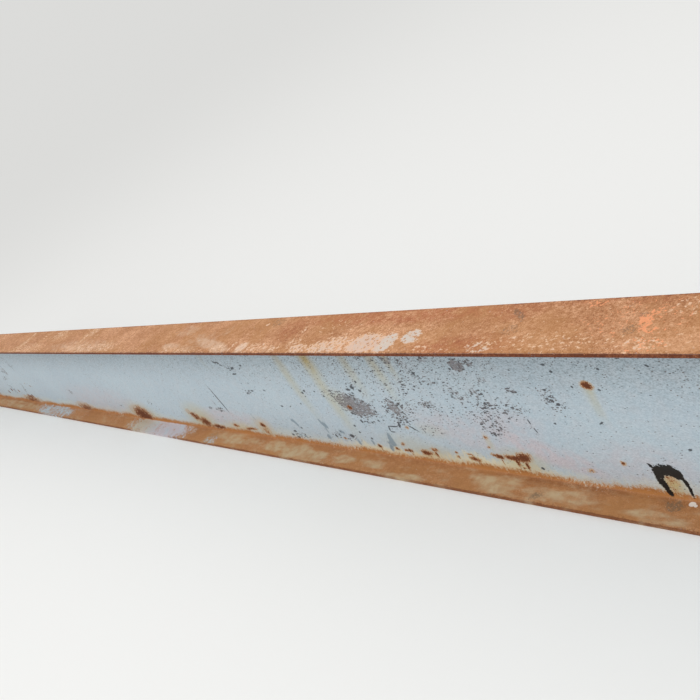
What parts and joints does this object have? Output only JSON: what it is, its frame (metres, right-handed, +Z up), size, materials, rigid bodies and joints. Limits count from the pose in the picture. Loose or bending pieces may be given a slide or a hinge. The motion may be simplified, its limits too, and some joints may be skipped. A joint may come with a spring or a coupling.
{
  "type": "steel girder",
  "caption": "Rolled wide-flange steel girder with a plain web and filleted roots, sawn square at both ends, in chipped pale paint with rusted flanges.",
  "frame": {"origin": "on the floor under the middle of the girder: the centre of the bottom flange's underside", "axes": "+X along the girder, +Y across its flanges, +Z up from the bottom flange to the top flange; the side seen in the picture faces -Y"},
  "size_m": [6.096, 0.14, 0.399],
  "materials": {
    "painted_steel": "matt pale blue-grey paint, chipped on the web and rusted through on the flanges"
  },
  "bodies": {
    "root": {"girder": "painted_steel"}
  },
  "joints": []
}
